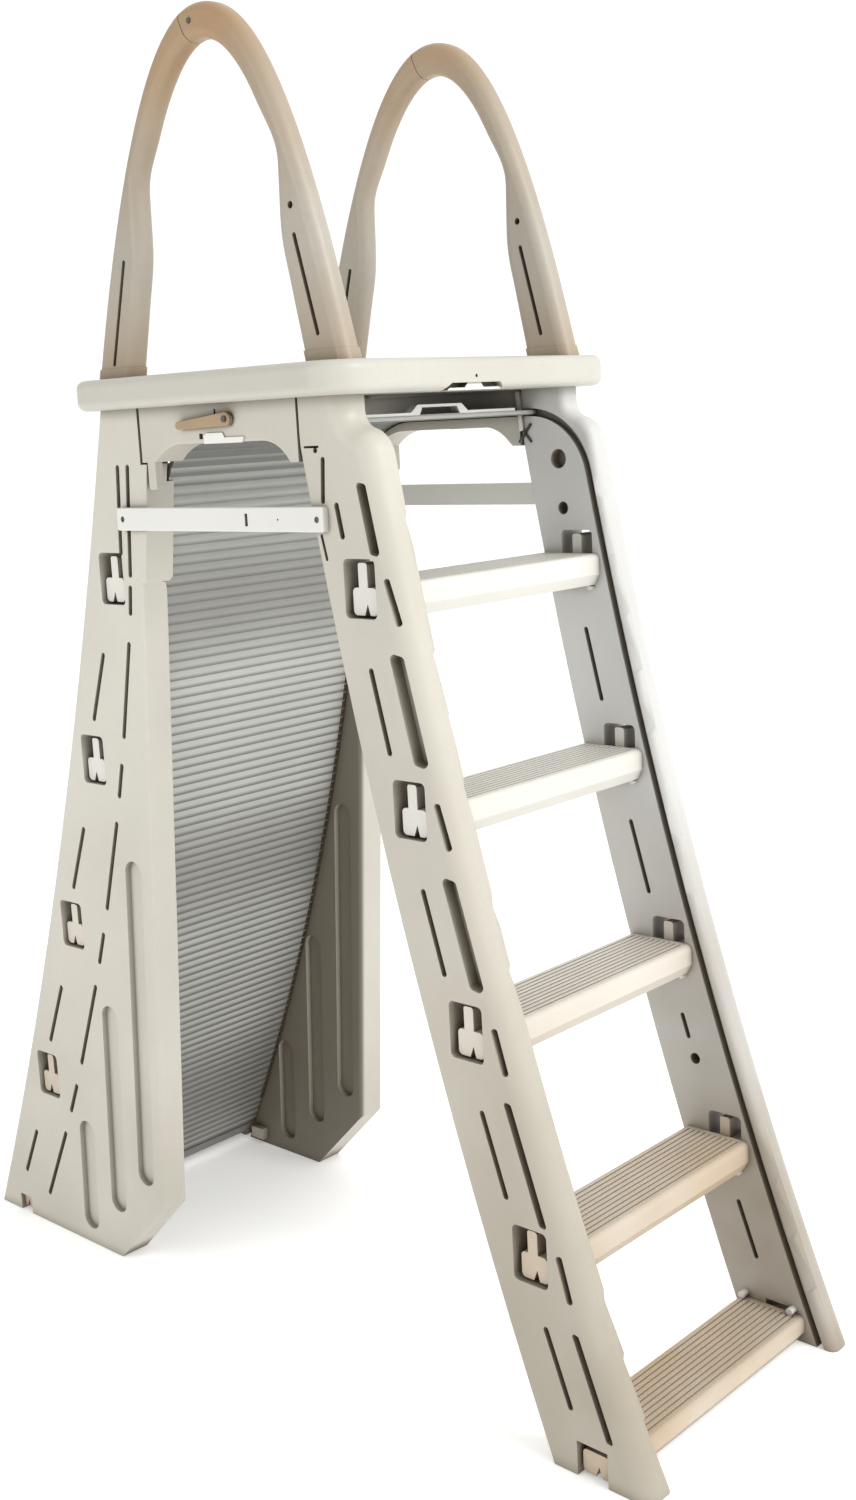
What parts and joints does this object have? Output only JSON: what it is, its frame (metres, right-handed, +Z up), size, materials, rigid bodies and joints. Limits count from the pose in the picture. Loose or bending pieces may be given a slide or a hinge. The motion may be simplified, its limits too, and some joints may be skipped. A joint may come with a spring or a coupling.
{
  "type": "pool ladder",
  "caption": "A-frame ladder for an above-ground pool, with side rails, platform, handrails and a slatted safety barrier that rolls over the top.",
  "frame": {"origin": "on the floor, under the middle of the bounding box", "axes": "+X to the yard side, +Z up, +Y to the side away from the lock lever"},
  "size_m": [1.516, 0.61, 2.008],
  "materials": {
    "rail_resin": "satin moulded resin, warm off-white",
    "platform_resin": "satin moulded resin, warm off-white",
    "tread_resin": "ribbed satin resin, warm grey-beige",
    "handrail_resin": "satin blow-moulded resin, warm cream",
    "barrier_resin": "satin slatted resin, cool light grey",
    "lever_resin": "satin resin, tan",
    "white_resin": "smooth white resin",
    "dark_resin": "plain moulded resin",
    "steel": "plain stainless fasteners"
  },
  "bodies": {
    "frame": {"barrier_curtain_top": "barrier_resin", "bridge_clips": "rail_resin", "bridge_panel_far": "rail_resin", "bridge_panel_near": "rail_resin", "handle_keeper": "white_resin", "handrail_collar_far_outer": "handrail_resin", "handrail_collar_far_pool": "handrail_resin", "handrail_collar_near_outer": "handrail_resin", "handrail_collar_near_pool": "handrail_resin", "handrail_far_outer_half": "handrail_resin", "handrail_far_pool_half": "handrail_resin", "handrail_near_outer_half": "handrail_resin", "handrail_near_pool_half": "handrail_resin", "handrail_sleeves": "dark_resin", "leg_studs": "steel", "lever_pivot": "steel", "outer_rail_far": "rail_resin", "outer_rail_near": "rail_resin", "outer_tread_1": "tread_resin", "outer_tread_2": "tread_resin", "outer_tread_3": "tread_resin", "outer_tread_4": "tread_resin", "outer_tread_5": "tread_resin", "platform": "platform_resin", "pool_rail_far": "rail_resin", "pool_rail_near": "rail_resin", "pool_tread_1": "tread_resin", "pool_tread_2": "tread_resin", "pool_tread_3": "tread_resin", "pool_tread_4": "tread_resin", "pool_tread_5": "tread_resin", "seam_screws": "steel", "spreader_bar_far": "rail_resin", "spreader_bar_near": "rail_resin", "spreader_screws": "steel", "track_stops": "rail_resin", "tread_pegs": "rail_resin"},
    "barrier_lower": {"barrier_curtain": "barrier_resin", "barrier_end_bar": "barrier_resin"},
    "barrier_lead": {"barrier_lead_bar": "barrier_resin", "barrier_lead_slat": "barrier_resin"},
    "lock_lever": {"lock_lever": "lever_resin"}
  },
  "joints": [
    {"name": "barrier_lift", "type": "hinge", "parent": "frame", "child": "barrier_lower", "pos_m": [-4.46695, 0, 2.04281], "axis": [0, -1, 0], "range_deg": [0, 1.88], "deforming": ["barrier_curtain_top"]},
    {"name": "barrier_pull", "type": "hinge", "parent": "frame", "child": "barrier_lead", "pos_m": [0.22976, 0, 1.312], "axis": [0, 1, 0], "range_deg": [0, 71.75]},
    {"name": "lock_lever_turn", "type": "hinge", "parent": "frame", "child": "lock_lever", "pos_m": [0.07, -0.27, 1.44], "axis": [0, -1, 0], "range_deg": [0, 90]}
  ],
  "couplings": [
    {"joint": "barrier_pull", "follows": "barrier_lift", "ratio": 38.099}
  ]
}
